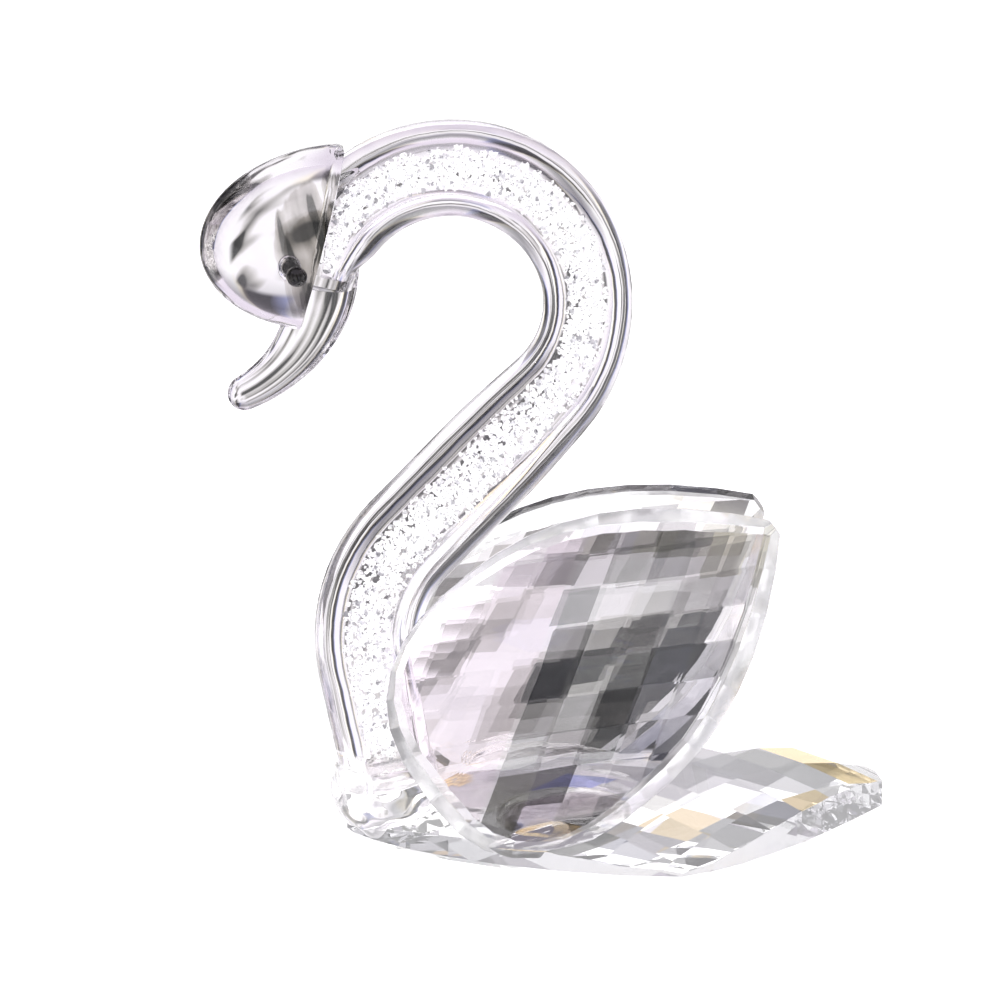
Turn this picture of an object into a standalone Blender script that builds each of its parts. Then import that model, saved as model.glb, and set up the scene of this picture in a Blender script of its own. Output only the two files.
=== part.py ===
"""A swan ornament of cut crystal and clear lampworked glass. Metres, +Z up, the head towards -X.

The origin lies on the flat underside of the base crystal, in the swan's upright middle plane.
Every neighbour is kept one glue line apart from the piece it is bonded to.
"""

import math

import bmesh
import bpy
import numpy as np
from mathutils import Matrix, Vector

GLUE_LINE = 0.0003
WELD = 0.000002
# Edges that turn by less than this are shaded round.
ROUND_EDGE = math.radians(40)

# Neck: a foot, a lower bend, a straight run and a hook, all in the middle plane.
HOOK_CENTRE = (-0.0239, 0.0744)
HOOK_RADIUS = 0.0185
HOOK_START = math.radians(170)
HOOK_END = math.radians(-44.5)
NECK_STRAIGHT = 0.0271
BEND_RADIUS = 0.0198
BEND_ANGLE = math.radians(56)
FOOT_STRAIGHT = 0.0160
HOOK_STEPS = 22
BEND_STEPS = 6
STRAIGHT_STEPS = 3
TUBE_SIDES = 16
# Outer radius at fractions of the way from the foot to the throat.
TUBE_FRACTIONS = (0.0, 0.38, 0.58, 0.75, 0.93, 1.0)
TUBE_RADII = (0.0073, 0.0073, 0.0060, 0.0064, 0.0063, 0.0044)
BORE_RADII = (0.0040, 0.0040, 0.0034, 0.0035, 0.0031, 0.0029)
BORE_END_FRACTION = 0.915
BORE_OVERRUN = 0.0020
STOPPER_LENGTH = 0.0030
CHIP_SIDES = 12
# Rings closer together than this fraction of the neck are left out.
RING_SPACING = 0.004

# Head: an ellipsoid ground flat where it meets the neck.
HEAD_CENTRE = Vector((-0.0392, 0.0, 0.0839))
HEAD_RADII = (0.0179, 0.0074, 0.0123)
HEAD_TILT = math.radians(-6.8)
HEAD_SEGMENTS = 28
HEAD_RINGS = 16
SEAM_POINT = Vector((-0.0400, 0.0, 0.0870))
SEAM_NORMAL = Vector((-0.967, 0.0, 0.254)).normalized()
EYE_RADIUS = 0.0013
EYE_X = -0.0445
EYE_Z = 0.0799
EYE_SEGMENTS = 14
EYE_RINGS = 9

# Beak: a flattened rod bent along one arc, tapering to a round tip.
BEAK_START = (-0.0409, 0.0810)
BEAK_HEADING = math.radians(-86)
BEAK_RADIUS = 0.0185
BEAK_TURN = math.radians(-76)
BEAK_DEPTHS = (0.0050, 0.0046, 0.0038, 0.0030, 0.0024)
BEAK_WIDTHS = (0.0036, 0.0034, 0.0029, 0.0024, 0.0020)
BEAK_STEPS = 14
BEAK_TIP_ROUNDING = (0.35, 1.45)
BEAK_TIP_STEPS = 4
BEAK_SIDES = 16

# Wings: leaf crystals, leaning together at the top. Crown and net reach are shares of the length.
WING_LENGTH = 0.0605
WING_WIDEST = 0.0230
WING_ABOVE = 0.0208
WING_BELOW = 0.0182
WING_ROOT = Vector((-0.0280, -0.0155, 0.0098))
WING_RISE = math.radians(37)
WING_LEAN = math.radians(15)
WING_APEX = 0.0043
WING_GIRDLE = 0.0009
WING_BEVEL_SLOPE = math.radians(34)
WING_CURVE = 3.2
WING_NET_STEP = 0.0052
WING_TIP_CUT = 0.0012
WING_CROWN = 0.45
WING_NET_REACH = 0.62

# Base: a broader leaf crystal lying flat, its point a little to the right of straight back.
BASE_LENGTH = 0.0780
BASE_WIDEST = 0.0425
BASE_HALF_WIDTH = 0.0253
BASE_START = Vector((-0.0386, 0.0, 0.0))
BASE_YAW = math.radians(3.5)
BASE_HEIGHT = 0.0110
BASE_CURVE = 8.0
BASE_NET_STEP = 0.0066
BASE_TIP_CUT = 0.0022
BASE_LOWER_BEVEL = 0.0008
BASE_CROWN = 0.53
BASE_NET_REACH = 0.60

NET_ANGLE = math.radians(31)
WING_ROUNDNESS = (2.6, 2.2)
BASE_ROUNDNESS = (1.45, 1.4)
OUTLINE_SIDES = 11

# Clear glass foot round the neck's end, and the clear glue under each wing.
FOOT_CENTRE = Vector((-0.0325, 0.0, 0.0068))
FOOT_RADII = (0.0088, 0.0094, 0.0095)
FOOT_UNDERSIDE = 0.0012
PAD_CENTRE = Vector((-0.0095, -0.0125, 0.0070))
PAD_RADII = (0.0095, 0.0050, 0.0036)

CLEAR = (0.93, 0.94, 0.95)
FROSTED = (0.90, 0.90, 0.92)
RESIN = (0.95, 0.94, 0.91)
JET = (0.02, 0.02, 0.02)


def clear_scene():
    for item in list(bpy.data.objects):
        bpy.data.objects.remove(item, do_unlink=True)


def make_material(name, colour, roughness):
    material = bpy.data.materials.new(name)
    material.use_nodes = True
    shader = material.node_tree.nodes["Principled BSDF"]
    shader.inputs["Base Color"].default_value = (*colour, 1.0)
    shader.inputs["Roughness"].default_value = roughness
    shader.inputs["Metallic"].default_value = 0.0
    return material


def add_object(name, bm, material, sharp_angle=None):
    """Makes an object of a bmesh, with its faces pointing out."""
    bmesh.ops.remove_doubles(bm, verts=bm.verts[:], dist=WELD)
    bmesh.ops.recalc_face_normals(bm, faces=bm.faces[:])
    mesh = bpy.data.meshes.new(name)
    bm.to_mesh(mesh)
    bm.free()
    mesh.materials.append(material)
    if sharp_angle is not None:
        mesh.shade_smooth()
        mesh.set_sharp_from_angle(angle=sharp_angle)
    item = bpy.data.objects.new(name, mesh)
    bpy.context.scene.collection.objects.link(item)
    return item


def add_cutter(name, bm):
    """Makes a hidden guide that a Boolean cuts with."""
    cutter = add_object(name, bm, bpy.data.materials["jet_glass"])
    cutter.hide_render = True
    cutter.display_type = "WIRE"
    return cutter


def cut_with(item, cutters):
    for cutter in cutters:
        cut = item.modifiers.new(cutter.name, "BOOLEAN")
        cut.operation = "DIFFERENCE"
        cut.object = cutter


def grind(bm, point, normal):
    """Grinds away all that stands beyond a plane, and leaves a flat face there."""
    everything = bm.verts[:] + bm.edges[:] + bm.faces[:]
    cut = bmesh.ops.bisect_plane(
        bm, geom=everything, dist=WELD, plane_co=point, plane_no=normal, clear_outer=True
    )
    rim = [piece for piece in cut["geom_cut"] if isinstance(piece, bmesh.types.BMEdge)]
    rim = [edge for edge in rim if edge.is_boundary]
    if rim:
        bmesh.ops.contextual_create(bm, geom=rim)


def skin(bm, rings, close_start, close_end):
    """Joins rings of points with faces."""
    loops = [[bm.verts.new(point) for point in ring] for ring in rings]
    for lower, upper in zip(loops, loops[1:]):
        for index in range(len(lower)):
            after = (index + 1) % len(lower)
            bm.faces.new((lower[index], lower[after], upper[after], upper[index]))
    if close_start:
        bm.faces.new(list(reversed(loops[0])))
    if close_end:
        bm.faces.new(loops[-1])


def ring_at(x, z, heading, depth, width, sides):
    """An oval ring across a path in the middle plane."""
    centre = Vector((x, 0.0, z))
    upright = Vector((-math.sin(heading), 0.0, math.cos(heading)))
    sideways = Vector((0.0, 1.0, 0.0))
    turns = [2 * math.pi * step / sides for step in range(sides)]
    return [centre + upright * depth * math.cos(t) + sideways * width * math.sin(t) for t in turns]


def ellipsoid(centre, radii, tilt=0.0, segments=HEAD_SEGMENTS, rings=HEAD_RINGS, grow=0.0):
    bm = bmesh.new()
    bmesh.ops.create_uvsphere(bm, u_segments=segments, v_segments=rings, radius=1.0)
    size = Matrix.Diagonal([radius + grow for radius in radii]).to_4x4()
    bm.transform(Matrix.Translation(centre) @ Matrix.Rotation(tilt, 4, "Y") @ size)
    return bm


def neck_path():
    """Points from the foot to the throat: x, z and the heading of the way up."""
    path = []
    for turn in np.linspace(HOOK_START, HOOK_END, HOOK_STEPS):
        x = HOOK_CENTRE[0] + HOOK_RADIUS * math.cos(turn)
        z = HOOK_CENTRE[1] + HOOK_RADIUS * math.sin(turn)
        path.append((x, z, turn - math.pi / 2))
    heading = HOOK_END - math.pi / 2
    path += straight_run(path[-1], NECK_STRAIGHT)
    x, z, _ = path[-1]
    for turn in np.linspace(0, BEND_ANGLE, BEND_STEPS)[1:]:
        bent = heading + turn
        bent_x = x + BEND_RADIUS * (math.sin(bent) - math.sin(heading))
        bent_z = z - BEND_RADIUS * (math.cos(bent) - math.cos(heading))
        path.append((bent_x, bent_z, bent))
    path += straight_run(path[-1], FOOT_STRAIGHT)
    return [(x, z, heading + math.pi) for x, z, heading in reversed(path)]


def straight_run(start, length):
    x, z, heading = start
    steps = np.linspace(0, length, STRAIGHT_STEPS + 1)[1:]
    return [(x + d * math.cos(heading), z + d * math.sin(heading), heading) for d in steps]


def along_neck(path):
    """How far along the neck each point of the path is, from 0 at the foot to 1 at the throat."""
    points = np.array([(x, z) for x, z, _ in path])
    lengths = np.hypot(*np.diff(points, axis=0).T)
    distance = np.concatenate(([0.0], np.cumsum(lengths)))
    return distance / distance[-1], distance[-1]


def neck_rings(radii, sides, start=0.0, end=1.0, grow=0.0):
    """Round rings along the neck between two fractions of its length."""
    path = neck_path()
    fractions, _ = along_neck(path)
    inner = [f for f in fractions if start + RING_SPACING < f < end - RING_SPACING]
    rings = []
    for fraction in [start, *inner, end]:
        x, z, heading = [np.interp(fraction, fractions, column) for column in zip(*path)]
        radius = np.interp(fraction, TUBE_FRACTIONS, radii) + grow
        rings.append(ring_at(x, z, heading, radius, radius, sides))
    return rings


def neck_solid(grow=0.0):
    """The neck's outside, ground flat at the seam with the head."""
    bm = bmesh.new()
    skin(bm, neck_rings(TUBE_RADII, TUBE_SIDES, grow=grow), True, True)
    grind(bm, SEAM_POINT + SEAM_NORMAL * grow, SEAM_NORMAL)
    return bm


def make_neck_tube(material):
    bore = bmesh.new()
    rings = neck_rings(BORE_RADII, TUBE_SIDES, end=BORE_END_FRACTION)
    below = Vector((0.0, 0.0, -BORE_OVERRUN))
    rings[0] = [point + below for point in rings[0]]
    skin(bore, rings, True, True)
    tube = add_object("neck_tube", neck_solid(), material, ROUND_EDGE)
    add_cutter("neck_seat", neck_solid(GLUE_LINE))
    cut_with(tube, [add_cutter("neck_bore", bore)])


def make_chips(material):
    _, length = along_neck(neck_path())
    start = (STOPPER_LENGTH + 2 * GLUE_LINE) / length
    end = BORE_END_FRACTION - 2 * GLUE_LINE / length
    bm = bmesh.new()
    rings = neck_rings(BORE_RADII, CHIP_SIDES, start=start, end=end, grow=-GLUE_LINE)
    skin(bm, rings, True, True)
    add_object("crystal_chips", bm, material, ROUND_EDGE)


def make_stopper(material):
    _, length = along_neck(neck_path())
    start = GLUE_LINE / length
    end = (STOPPER_LENGTH + GLUE_LINE) / length
    bm = bmesh.new()
    skin(bm, neck_rings(BORE_RADII, CHIP_SIDES, start=start, end=end, grow=-GLUE_LINE), True, True)
    add_object("neck_stopper", bm, material, ROUND_EDGE)


def head_solid(grow=0.0):
    bm = ellipsoid(HEAD_CENTRE, HEAD_RADII, HEAD_TILT, grow=grow)
    grind(bm, SEAM_POINT + SEAM_NORMAL * (GLUE_LINE - grow), -SEAM_NORMAL)
    return bm


def eye_place(side):
    """The bead's centre, on the head's surface."""
    offset = Matrix.Rotation(-HEAD_TILT, 3, "Y") @ (Vector((EYE_X, 0.0, EYE_Z)) - HEAD_CENTRE)
    share = (offset.x / HEAD_RADII[0]) ** 2 + (offset.z / HEAD_RADII[2]) ** 2
    return Vector((EYE_X, side * HEAD_RADII[1] * math.sqrt(1 - share), EYE_Z))


def make_head(clear, jet):
    head = add_object("head", head_solid(), clear, ROUND_EDGE)
    sockets = []
    radii = (EYE_RADIUS, EYE_RADIUS, EYE_RADIUS)
    for name, side in (("left_eye", -1), ("right_eye", 1)):
        place = eye_place(side)
        bead = ellipsoid(place, radii, segments=EYE_SEGMENTS, rings=EYE_RINGS)
        add_object(name, bead, jet, ROUND_EDGE)
        socket = ellipsoid(place, radii, segments=EYE_SEGMENTS, rings=EYE_RINGS, grow=GLUE_LINE)
        sockets.append(add_cutter(name + "_socket", socket))
    cut_with(head, sockets)


def make_beak(material):
    x, z = BEAK_START
    length = abs(BEAK_TURN) * BEAK_RADIUS
    tip = BEAK_DEPTHS[-1]
    stations = list(np.linspace(0, length - tip, BEAK_STEPS))
    angles = np.linspace(*BEAK_TIP_ROUNDING, BEAK_TIP_STEPS)
    stations += [length - tip + tip * math.sin(angle) for angle in angles]
    marks = np.linspace(0, length - tip, len(BEAK_DEPTHS))
    rings = []
    for distance in stations:
        turned = BEAK_HEADING + BEAK_TURN * distance / length
        ring_x = x - BEAK_RADIUS * (math.sin(turned) - math.sin(BEAK_HEADING))
        ring_z = z + BEAK_RADIUS * (math.cos(turned) - math.cos(BEAK_HEADING))
        past = max(0.0, distance - (length - tip)) / tip
        rounding = math.sqrt(1 - past * past)
        depth = np.interp(distance, marks, BEAK_DEPTHS) * rounding
        width = np.interp(distance, marks, BEAK_WIDTHS) * rounding
        rings.append(ring_at(ring_x, ring_z, turned, depth, width, BEAK_SIDES))
    bm = bmesh.new()
    skin(bm, rings, True, True)
    beak = add_object("beak", bm, material, ROUND_EDGE)
    head_seat = add_cutter("head_seat", head_solid(grow=GLUE_LINE))
    cut_with(beak, [head_seat, bpy.data.objects["neck_seat"]])


def leaf_outline(length, widest, above, below, roundness):
    """A leaf's corners, anticlockwise: round at the start, pointed at the end."""
    round_end, point_end = roundness
    upper = []
    for angle in np.linspace(0.0, math.pi / 2, OUTLINE_SIDES // 2 + 1):
        share = math.cos(angle)
        upper.append((widest * (1 - share), (1 - share**round_end) ** (1 / round_end)))
    for share in np.linspace(0.0, 1.0, OUTLINE_SIDES // 2 + 1)[1:]:
        upper.append((widest + (length - widest) * share, 1 - share**point_end))
    top = [(s, above * w) for s, w in upper[1:-1]]
    bottom = [(s, -below * w) for s, w in upper[1:-1]]
    return [upper[0], *bottom, (length, 0.0), *reversed(top)]


def net_planes(centre, apex, curve, step, reach):
    """Planes of a net of facets that follow a dome, as points and normals."""
    along = 1 / (2 * math.cos(NET_ANGLE))
    across = 1 / (2 * math.sin(NET_ANGLE))
    count = int(reach * (along + across) / step) + 1
    lines = [(index - 0.5) * step for index in range(-count, count + 2)]
    planes = []
    for p_low, p_high in zip(lines, lines[1:]):
        for q_low, q_high in zip(lines, lines[1:]):
            s = centre + (p_low + p_high + q_low + q_high) / 2 * math.cos(NET_ANGLE)
            w = (p_low + p_high - q_low - q_high) / 2 * math.sin(NET_ANGLE)
            if math.hypot(s - centre, w) > reach:
                continue
            p_slope = -curve * (p_low + p_high)
            q_slope = -curve * (q_low + q_high)
            level = apex + curve * (p_low * p_high + q_low * q_high)
            level += p_slope * ((s - centre) * along + w * across)
            level += q_slope * ((s - centre) * along - w * across)
            normal = Vector((-(p_slope + q_slope) * along, -(p_slope - q_slope) * across, 1.0))
            planes.append((Vector((s, w, level)), normal.normalized()))
    return planes


def side_planes(outline):
    """For each side of an outline, its middle point and its outward direction."""
    sides = []
    for start, end in zip(outline, outline[1:] + outline[:1]):
        run = Vector((end[0] - start[0], end[1] - start[1], 0.0))
        outward = Vector((run.y, -run.x, 0.0)).normalized()
        middle = Vector(((start[0] + end[0]) / 2, (start[1] + end[1]) / 2, 0.0))
        sides.append((middle, outward))
    return sides


def leaf_block(length, half_width, height):
    """A block of crystal, larger all round than the leaf that is ground from it."""
    bm = bmesh.new()
    bmesh.ops.create_cube(bm, size=2.0)
    size = Matrix.Diagonal((length, 2 * half_width, 2 * height, 1.0))
    bm.transform(Matrix.Translation((length / 2, 0.0, 0.0)) @ size)
    return bm


def wing_solid(grow=0.0):
    """A leaf cut with a net of facets on both faces, bevelled all round."""
    bm = leaf_block(WING_LENGTH, WING_ABOVE, WING_APEX)
    outline = leaf_outline(WING_LENGTH, WING_WIDEST, WING_ABOVE, WING_BELOW, WING_ROUNDNESS)
    faces = (Vector((0.0, 0.0, 1.0)), Vector((0.0, 0.0, -1.0)))
    for middle, outward in side_planes(outline):
        grind(bm, middle + outward * grow, outward)
        for face in faces:
            slope = outward * math.sin(WING_BEVEL_SLOPE) + face * math.cos(WING_BEVEL_SLOPE)
            grind(bm, middle + face * WING_GIRDLE + slope * grow, slope)
    tip = Vector((WING_LENGTH - WING_TIP_CUT + grow, 0.0, 0.0))
    grind(bm, tip, Vector((1.0, 0.0, 0.0)))
    centre = WING_LENGTH * WING_CROWN
    reach = WING_LENGTH * WING_NET_REACH
    for point, normal in net_planes(centre, WING_APEX, WING_CURVE, WING_NET_STEP, reach):
        grind(bm, point + normal * grow, normal)
        back_point = Vector((point.x, point.y, -point.z))
        back_normal = Vector((normal.x, normal.y, -normal.z))
        grind(bm, back_point + back_normal * grow, back_normal)
    return bm


def wing_frame(side):
    """Places a wing: its length rises along the swan, and its face leans inwards at the top."""
    up_slope = Vector((0.0, -side * math.sin(WING_LEAN), math.cos(WING_LEAN)))
    ahead = Vector((1.0, 0.0, 0.0))
    along = ahead * math.cos(WING_RISE) + up_slope * math.sin(WING_RISE)
    across = up_slope * math.cos(WING_RISE) - ahead * math.sin(WING_RISE)
    root = Vector((WING_ROOT.x, -side * WING_ROOT.y, WING_ROOT.z))
    turn = Matrix((along, across, along.cross(across))).transposed()
    return Matrix.Translation(root) @ turn.to_4x4()


def base_solid(grow=0.0):
    """A broad leaf with a flat underside and a net of facets on its crown."""
    bm = leaf_block(BASE_LENGTH, BASE_HALF_WIDTH, BASE_HEIGHT)
    down = Vector((0.0, 0.0, -1.0))
    grind(bm, down * grow, down)
    half = BASE_HALF_WIDTH
    outline = leaf_outline(BASE_LENGTH, BASE_WIDEST, half, half, BASE_ROUNDNESS)
    for middle, outward in side_planes(outline):
        grind(bm, middle + outward * grow, outward)
        slope = (outward + down).normalized()
        grind(bm, middle - down * BASE_LOWER_BEVEL + slope * grow, slope)
    tip = Vector((BASE_LENGTH - BASE_TIP_CUT + grow, 0.0, 0.0))
    grind(bm, tip, Vector((1.0, 0.0, 0.0)))
    centre = BASE_LENGTH * BASE_CROWN
    reach = BASE_LENGTH * BASE_NET_REACH
    for point, normal in net_planes(centre, BASE_HEIGHT, BASE_CURVE, BASE_NET_STEP, reach):
        grind(bm, point + normal * grow, normal)
    return bm


def base_frame():
    return Matrix.Translation(BASE_START) @ Matrix.Rotation(BASE_YAW, 4, "Z")


def placed_cutter(name, bm, frame):
    bm.transform(frame)
    return add_cutter(name, bm)


def make_crystals(material):
    """The base, and the two wings with a seat ground into each where it stands on the base."""
    base = base_solid()
    base.transform(base_frame())
    add_object("base_crystal", base, material)
    base_seat = placed_cutter("base_seat", base_solid(GLUE_LINE), base_frame())
    for name, side in (("left_wing", -1), ("right_wing", 1)):
        wing = wing_solid()
        wing.transform(wing_frame(side))
        cut_with(add_object(name, wing, material), [base_seat])


def make_glue(foot_material, resin):
    base_seat = bpy.data.objects["base_seat"]
    neck_seat = bpy.data.objects["neck_seat"]
    wing_seats = [
        placed_cutter("left_wing_seat", wing_solid(GLUE_LINE), wing_frame(-1)),
        placed_cutter("right_wing_seat", wing_solid(GLUE_LINE), wing_frame(1)),
    ]
    foot = ellipsoid(FOOT_CENTRE, FOOT_RADII)
    grind(foot, Vector((0.0, 0.0, FOOT_UNDERSIDE)), Vector((0.0, 0.0, -1.0)))
    neck_foot = add_object("neck_foot", foot, foot_material, ROUND_EDGE)
    cut_with(neck_foot, [base_seat, neck_seat, *wing_seats])
    for name, side, wing_seat in zip(("left_wing_glue", "right_wing_glue"), (-1, 1), wing_seats):
        centre = Vector((PAD_CENTRE.x, -side * PAD_CENTRE.y, PAD_CENTRE.z))
        pad = add_object(name, ellipsoid(centre, PAD_RADII), resin, ROUND_EDGE)
        cut_with(pad, [base_seat, wing_seat])


def build():
    clear_scene()
    clear = make_material("clear_glass", CLEAR, 0.02)
    crystal = make_material("cut_crystal", CLEAR, 0.01)
    chips = make_material("crushed_crystal", FROSTED, 0.25)
    resin = make_material("clear_resin", RESIN, 0.08)
    jet = make_material("jet_glass", JET, 0.05)
    make_crystals(crystal)
    make_neck_tube(clear)
    make_chips(chips)
    make_stopper(resin)
    make_head(clear, jet)
    make_beak(clear)
    make_glue(clear, resin)


build()
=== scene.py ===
"""A swan ornament, finished: cut crystal wings and base, a clear glass neck filled with crystal
chips, and a glass head and beak. Metres, +Z up, the head towards -X."""

import math
import random

import bmesh
import bpy
import numpy as np
from mathutils import Matrix, Vector


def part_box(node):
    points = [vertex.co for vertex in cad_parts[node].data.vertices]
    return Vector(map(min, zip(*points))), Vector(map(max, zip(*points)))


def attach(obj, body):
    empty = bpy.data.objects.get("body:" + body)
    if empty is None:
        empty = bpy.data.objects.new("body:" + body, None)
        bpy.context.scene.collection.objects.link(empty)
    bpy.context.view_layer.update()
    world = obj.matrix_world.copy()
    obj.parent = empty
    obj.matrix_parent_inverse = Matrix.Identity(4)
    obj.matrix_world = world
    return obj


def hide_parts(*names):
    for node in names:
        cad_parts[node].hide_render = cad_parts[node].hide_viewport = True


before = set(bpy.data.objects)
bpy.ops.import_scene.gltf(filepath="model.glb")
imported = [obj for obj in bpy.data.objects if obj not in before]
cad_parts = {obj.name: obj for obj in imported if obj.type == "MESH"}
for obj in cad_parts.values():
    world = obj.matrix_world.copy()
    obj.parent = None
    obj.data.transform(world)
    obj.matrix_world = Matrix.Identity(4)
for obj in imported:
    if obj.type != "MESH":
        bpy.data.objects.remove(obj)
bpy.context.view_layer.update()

UP = Vector((0.0, 0.0, 1.0))
DOWN = -UP
LENGTHWISE = Vector((1.0, 0.0, 0.0))
WHITE = (1.0, 1.0, 1.0)
# The air or glue left between neighbours.
SEAM_GAP = 0.00012
# The glass left between the chips and the seam at the throat, and the rounding of the lips of
# the head, the tube, the stopper and the beak's root.
SEAM_WALL = 0.0007
SEAM_LIP = 0.00025
TUBE_LIP = 0.0007
STOPPER_LIP = 0.0002
BEAK_LIP = 0.0003
# Corners closer to a ground plane than this are left where they are.
GRIT = 0.000001
# Corners closer to each other than this are merged.
WELD = 0.000002
# Edges that turn by less than this are rounded by the flame, and shade smooth.
FIRED_EDGE = math.radians(40)
# The ends of the stopper and of the beak's root are eased where they turn by more than this.
ROOT_EDGE = math.radians(50)
# A crystal's edges are eased by this width where they turn by more than this.
FACET_EASE = 0.00008
FACET_EDGE = math.radians(24)
# Every draw by chance has its own seed.
SEEDS = {"wing front": 11, "wing back": 23, "base": 37, "chip shapes": 5, "chips": 71}

# Neck: a foot, a lower bend, a straight run and a hook, in the swan's middle plane.
HOOK_CENTRE = Vector((-0.0239, 0.0, 0.0744))
HOOK_RADIUS = 0.0185
HOOK_START = math.radians(170)
HOOK_END = math.radians(-44.5)
NECK_STRAIGHT = 0.0271
BEND_RADIUS = 0.0198
BEND_ANGLE = math.radians(56)
FOOT_STRAIGHT = 0.0160
HOOK_STATIONS = 60
BEND_STATIONS = 20
STRAIGHT_STATIONS = 10
# Radii of the tube and of its bore at marks along the neck, as fractions of its length from the foot.
TUBE_FRACTIONS = (0.0, 0.38, 0.58, 0.75, 0.93, 1.0)
TUBE_RADII = (0.0073, 0.0073, 0.0060, 0.0064, 0.0063, 0.0044)
BORE_RADII = (0.0040, 0.0040, 0.0034, 0.0035, 0.0031, 0.0029)
# The bore runs from a little before the foot's end, where it breaks through, to this fraction.
BORE_END = 0.986
BORE_OVERRUN = 0.0010
STOPPER_LENGTH = 0.0030
TUBE_SIDES = 56
BORE_SIDES = 32
RING_STEP = 0.0016

# Head: an ovoid ground flat where the neck is fused on.
HEAD_CENTRE = Vector((-0.0392, 0.0, 0.0839))
HEAD_RADII = Vector((0.0179, 0.0074, 0.0123))
HEAD_TILT = math.radians(-6.8)
SEAM_POINT = Vector((-0.0400, 0.0, 0.0870))
SEAM_NORMAL = Vector((-0.967, 0.0, 0.254)).normalized()
# The head's upper back corner is melted down to meet the neck.
NAPE = Vector((-0.0378, 0.0, 0.0956))
NAPE_SLOPE = Vector((0.55, 0.0, 0.83)).normalized()
EYE_RADIUS = 0.0013
# Where painted dark reflections run in streaks through the head's glass, how far they reach ahead and
# up, how closely they lie across, how much they lean, how quickly they change on the way down, and
# their tones.
THROAT = Vector((-0.0400, 0.0, 0.0815))
PAINTED_STREAK_REACH = Vector((0.0068, 0.0, 0.0078))
STREAKS_ACROSS = 520.0
STREAKS_LEAN = 130.0
STREAKS_DOWN = 150.0
PAINTED_STREAK_TONES = (
    (0.0, (0.03, 0.03, 0.03)), (0.40, (0.06, 0.06, 0.055)), (0.43, (0.32, 0.305, 0.28)),
    (0.53, (0.50, 0.475, 0.44)), (0.60, (0.66, 0.64, 0.61)), (0.63, WHITE),
)

# Beak: a flattened rod drawn down in one arc.
BEAK_START = Vector((-0.0409, 0.0, 0.0810))
BEAK_HEADING = math.radians(-86)
BEAK_RADIUS = 0.0185
BEAK_TURN = math.radians(-76)
BEAK_DEPTHS = (0.0050, 0.0046, 0.0038, 0.0030, 0.0024)
BEAK_WIDTHS = (0.0036, 0.0034, 0.0029, 0.0024, 0.0020)
BEAK_SIDES = 40
BEAK_GROOVES = 5
GROOVE_DEPTH = 0.05
BEAK_RINGS = 24
TIP_RINGS = 9
TIP_TURN = (0.15, 1.5)

# Wings and base: leaf crystals cut with a net of facets.
NET_ANGLE = math.radians(31)
WING = {
    "length": 0.0605, "widest": 0.0230, "above": 0.0208, "below": 0.0182, "roundness": (2.6, 2.2),
    "apex": 0.0043, "curve": 3.2, "step": 0.0052, "crown": 0.45, "reach": 0.62, "tip_cut": 0.0012,
}
WING_GIRDLE = 0.0009
WING_BEVEL = math.radians(34)
WING_ROOT = Vector((-0.0280, -0.0155, 0.0098))
WING_RISE = math.radians(37)
WING_LEAN = math.radians(15)
BASE = {
    "length": 0.0780, "widest": 0.0425, "above": 0.0253, "below": 0.0253, "roundness": (1.45, 1.4),
    "apex": 0.0110, "curve": 8.0, "step": 0.0066, "crown": 0.53, "reach": 0.60, "tip_cut": 0.0022,
}
BASE_START = Vector((-0.0386, 0.0, 0.0))
BASE_YAW = math.radians(3.5)
BASE_LOWER_BEVEL = 0.0008
OUTLINE_SIDES = 8
# How a face is told by the upright part of its normal: on an edge it is less than the first, on a
# bevel it is within the second of the bevel's slope, and on a flat face it is more than the last.
EDGE_FACING = 0.05
BEVEL_FACING = 0.004
FLAT_FACING = 0.99999
# How far a facet may lean off the true net, as hand grinding leaves it.
FACET_WANDER = math.radians(0.06)

# Cells of the left wing's net, which set its painted reflections: the last column of the lilac root,
# the last column of the dark middle, and the first row of the light upper edge.
ROOT_COLUMN = -2
MIDDLE_COLUMN = 2
LIGHT_ROW = 3
# Painted shade on the left wing's upright edges.
LEFT_EDGE_PAINTED_SHADE = (0.08, 0.08, 0.085)
# The right wing's painted reflections: the first row of its dark upper edge, and the first column of
# its warm tip.
DARK_REFLECTION_ROW = 2
WARM_REFLECTION_COLUMN = 1
# Painted shade on the upright edges of the right wing and of the base.
RIGHT_EDGE_PAINTED_SHADE = (0.08, 0.08, 0.08)
BASE_EDGE_PAINTED_SHADE = (0.30, 0.30, 0.31)

# Painted glow of the crystal, as a share of white: on the wing faces, on the bevels, and on the base.
WING_PAINTED_GLOW = 0.0
BEVEL_PAINTED_GLOW = 0.07
BASE_PAINTED_GLOW = 0.04

# The foot, its underside's level and its soft lumps, and the glue pads.
FOOT_CENTRE = Vector((-0.0325, 0.0, 0.0068))
FOOT_RADII = Vector((0.0088, 0.0094, 0.0095))
FOOT_UNDERSIDE = 0.0012
LUMP_SIZE = 0.0060
LUMP_HEIGHT = 0.0022
PAD_CENTRE = Vector((-0.0095, -0.0125, 0.0070))
PAD_RADII = Vector((0.0095, 0.0050, 0.0036))

# Chips: how many, their smallest and largest radius, and how each shape is broken from a block.
CHIP_COUNT = 5800
CHIP_SIZES = (0.00034, 0.00062)
CHIP_KINDS = 5
CHIP_BREAKS = 9
CHIP_BREAK_REACH = (0.45, 0.85)
CHIP_CLEARANCE = 4 * SEAM_GAP
CHIP_TONES = ((0.0, (0.35, 0.35, 0.37)), (0.10, (0.80, 0.80, 0.82)), (0.2, WHITE))
# The painted shade of the dark specks on the chips.
SPECK_TONE = (0.10, 0.10, 0.11)

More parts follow.
